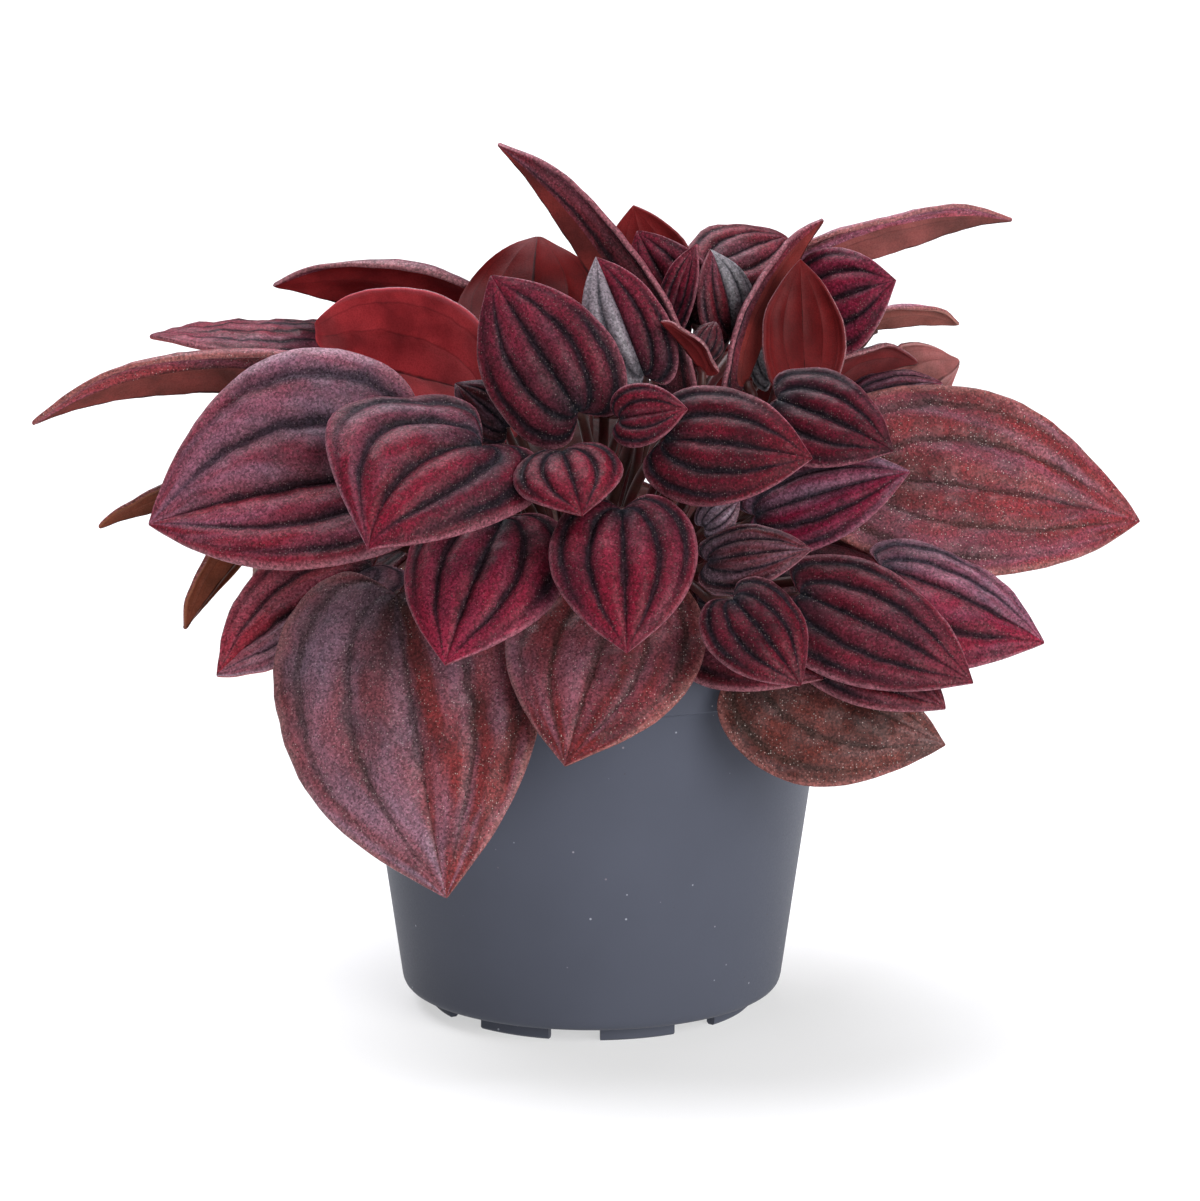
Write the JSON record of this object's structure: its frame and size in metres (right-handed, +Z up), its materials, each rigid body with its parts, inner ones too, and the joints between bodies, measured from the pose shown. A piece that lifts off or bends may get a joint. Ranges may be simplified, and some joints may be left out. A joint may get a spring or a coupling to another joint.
{
  "type": "ripple peperomia in a nursery pot",
  "caption": "Bushy potted foliage plant: heart-shaped fleshy leaves with deep sunken veins, in purple, wine and red, over a round tapered plastic nursery pot with a foot ring.",
  "frame": {"origin": "on the ground, under the middle of the whole plant's outer box, which is within a millimetre of the pot's axis", "axes": "+Z up along the pot's axis, -Y towards the front of the plant as pictured, +X to its right"},
  "size_m": [0.2636, 0.1861, 0.2103],
  "materials": {
    "pot": "matte slate-grey moulded plastic, finely speckled",
    "soil": "dark crumbly potting soil",
    "leaf_rose": "old fleshy leaf, dusty rose-brown with a grey bloom, satin",
    "leaf_wine": "grown fleshy leaf, wine red with dark veins, satin",
    "leaf_magenta": "young fleshy leaf, crimson-magenta with near-black vein grooves, satin with a fine sparkle",
    "leaf_red": "leaf seen from its bright red underside, translucent satin"
  },
  "bodies": {
    "root": {"pot": "pot", "soil": "soil", "leaf_01": "leaf_rose", "leaf_02": "leaf_rose", "leaf_03": "leaf_magenta", "leaf_04": "leaf_magenta", "leaf_05": "leaf_magenta", "leaf_06": "leaf_wine", "leaf_07": "leaf_wine", "leaf_08": "leaf_rose", "leaf_09": "leaf_rose", "leaf_10": "leaf_red", "leaf_11": "leaf_wine", "leaf_12": "leaf_red", "leaf_13": "leaf_red", "leaf_14": "leaf_magenta", "leaf_15": "leaf_red", "leaf_16": "leaf_wine", "leaf_17": "leaf_magenta", "leaf_18": "leaf_red", "leaf_19": "leaf_magenta", "leaf_20": "leaf_magenta", "leaf_21": "leaf_wine", "leaf_22": "leaf_wine", "leaf_23": "leaf_wine", "leaf_24": "leaf_wine", "leaf_25": "leaf_red", "leaf_26": "leaf_magenta", "leaf_27": "leaf_rose", "leaf_28": "leaf_red", "leaf_29": "leaf_rose", "leaf_30": "leaf_magenta", "leaf_31": "leaf_wine", "leaf_32": "leaf_magenta", "leaf_33": "leaf_magenta", "leaf_34": "leaf_magenta", "leaf_35": "leaf_wine", "leaf_36": "leaf_wine", "leaf_37": "leaf_magenta", "leaf_38": "leaf_wine", "leaf_39": "leaf_magenta", "leaf_40": "leaf_magenta", "leaf_41": "leaf_wine", "leaf_42": "leaf_rose", "leaf_43": "leaf_magenta", "leaf_44": "leaf_magenta", "leaf_45": "leaf_red", "leaf_46": "leaf_wine", "leaf_47": "leaf_wine", "leaf_48": "leaf_wine", "leaf_49": "leaf_rose", "leaf_50": "leaf_rose", "leaf_51": "leaf_wine", "leaf_52": "leaf_rose", "leaf_53": "leaf_magenta", "leaf_54": "leaf_wine", "leaf_55": "leaf_magenta", "leaf_56": "leaf_magenta", "leaf_57": "leaf_wine", "leaf_58": "leaf_wine"}
  },
  "joints": []
}
